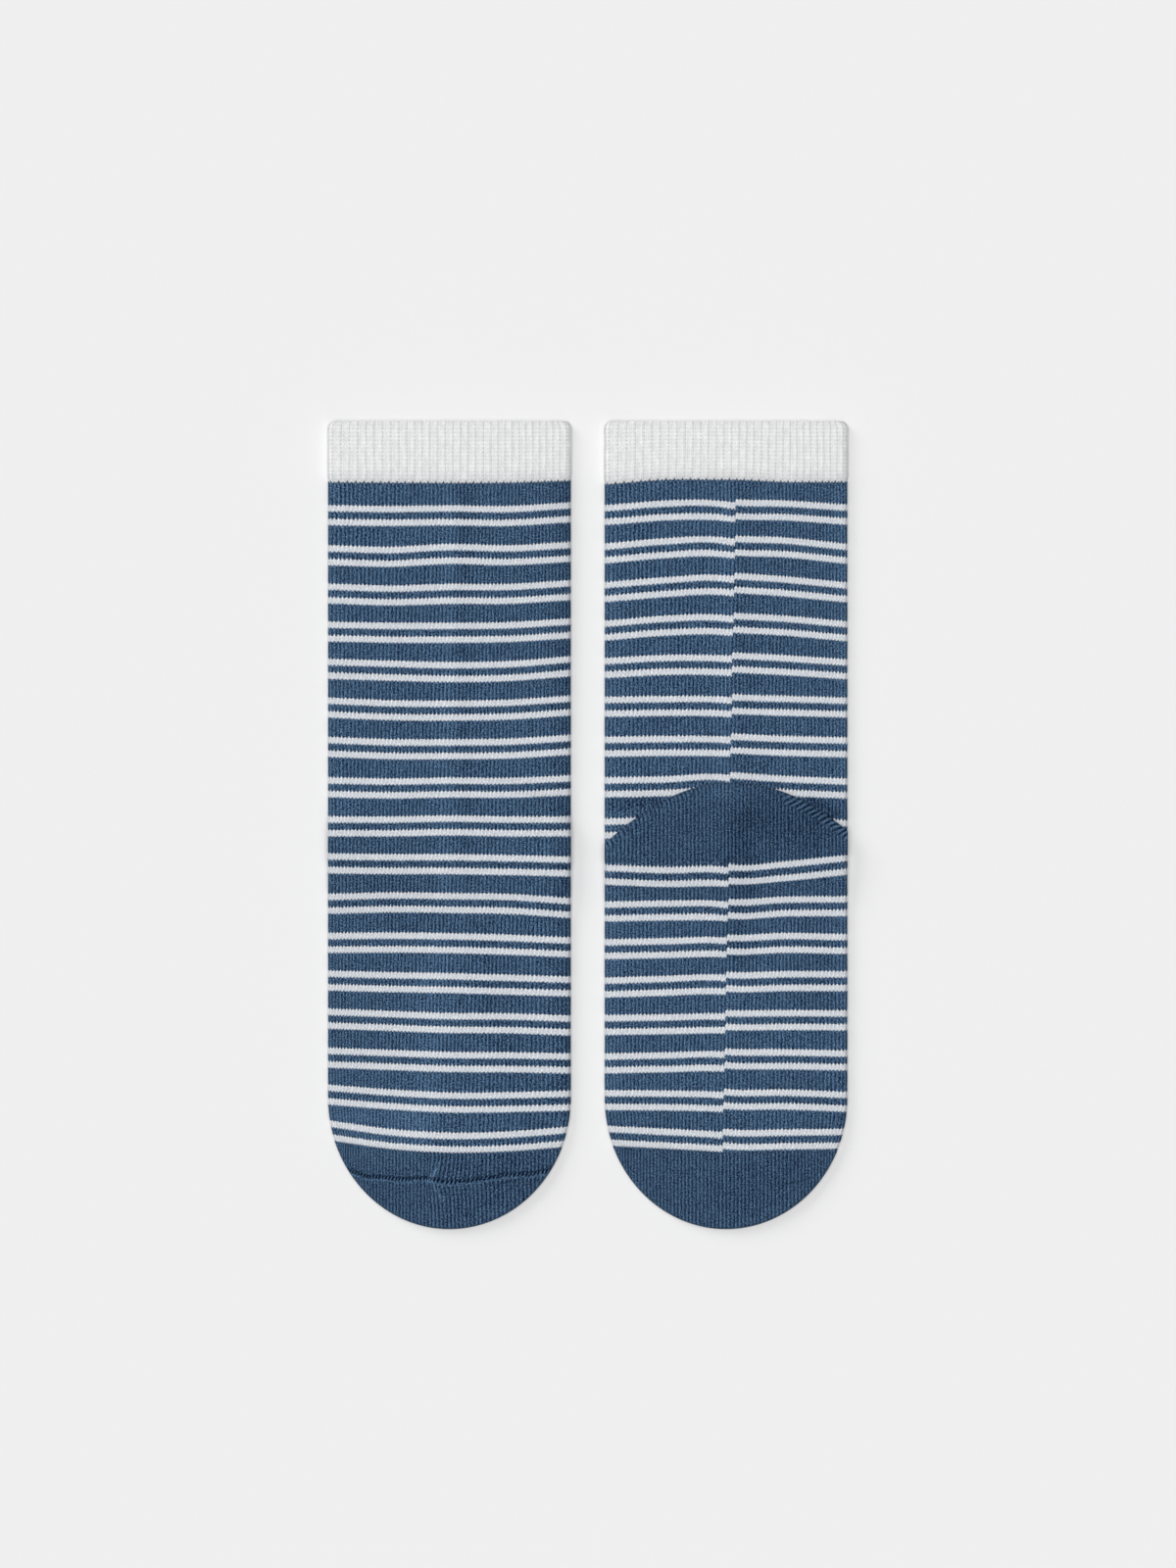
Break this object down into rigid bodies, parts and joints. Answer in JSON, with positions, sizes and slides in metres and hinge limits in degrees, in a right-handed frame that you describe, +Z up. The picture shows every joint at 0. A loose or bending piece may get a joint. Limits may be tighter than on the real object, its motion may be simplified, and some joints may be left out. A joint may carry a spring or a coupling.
{
  "type": "pair of knitted crew socks laid flat",
  "caption": "Flat-laid pair of striped knitted crew socks with ribbed cuffs, the left instep side up and the right with its folded heel pocket up.",
  "frame": {"origin": "on the surface the socks lie on, under the middle of the pair's bounding box", "axes": "+Y along both socks from toe to cuff, +X from the left sock to the right sock, +Z up from the surface"},
  "size_m": [0.1604, 0.2492, 0.0051],
  "materials": {
    "cuff_rib": "matt 1x1 rib knit in off-white combed cotton",
    "striped_jersey": "matt plain knit in mid blue cotton with pairs of narrow white stripes",
    "plain_jersey": "matt plain knit in mid blue cotton"
  },
  "bodies": {
    "root": {"left_cuff": "cuff_rib", "left_leg": "striped_jersey", "left_heel": "plain_jersey", "left_foot": "striped_jersey", "left_toe": "plain_jersey", "right_cuff": "cuff_rib", "right_leg": "striped_jersey", "right_heel": "plain_jersey", "right_foot": "striped_jersey", "right_toe": "plain_jersey"}
  },
  "joints": []
}
